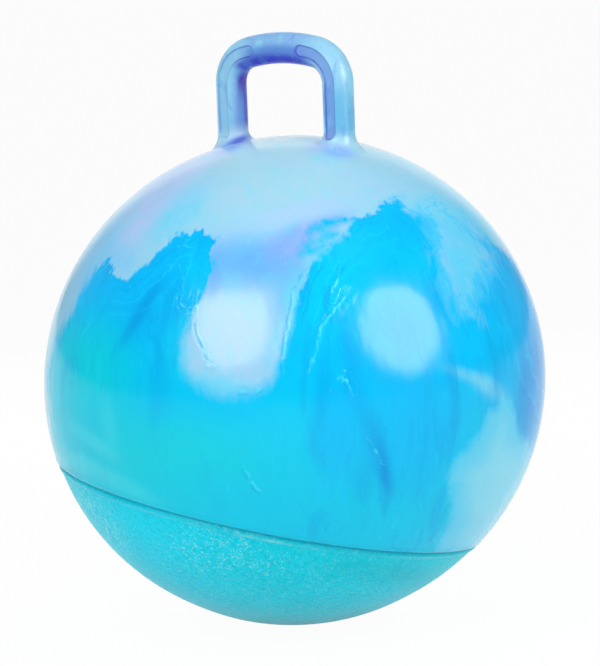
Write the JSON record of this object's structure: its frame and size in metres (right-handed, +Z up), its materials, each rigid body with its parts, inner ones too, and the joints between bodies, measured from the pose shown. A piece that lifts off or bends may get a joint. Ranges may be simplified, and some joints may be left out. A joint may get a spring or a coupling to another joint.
{
  "type": "hopper ball",
  "caption": "Inflated vinyl ball to sit and bounce on, with a hollow loop handle on top, a grained base below a slanting groove, and a push-in air valve.",
  "frame": {"origin": "centre of the flat patch that the ball stands on", "axes": "+Z up along the handle's axis, +X along the grip bar, -Y the front of the handle"},
  "size_m": [0.4499, 0.45, 0.5354],
  "materials": {
    "marbled_vinyl": "glossy soft vinyl, marbled lavender, azure and turquoise",
    "grained_vinyl": "pebble-grained soft vinyl, turquoise",
    "handle_vinyl": "satin soft vinyl, marbled light blue and indigo",
    "valve_rubber": "soft satin vinyl",
    "plug_plastic": "smooth white plastic"
  },
  "bodies": {
    "ball": {"upper_shell": "marbled_vinyl", "base_shell": "grained_vinyl", "handle": "handle_vinyl", "valve_seat": "valve_rubber"},
    "plug": {"valve_plug": "plug_plastic"}
  },
  "joints": [
    {"name": "plug_pull", "type": "slide", "parent": "ball", "child": "plug", "axis": [0, 0.6428, 0.766], "range_m": [0, 0.03]}
  ]
}
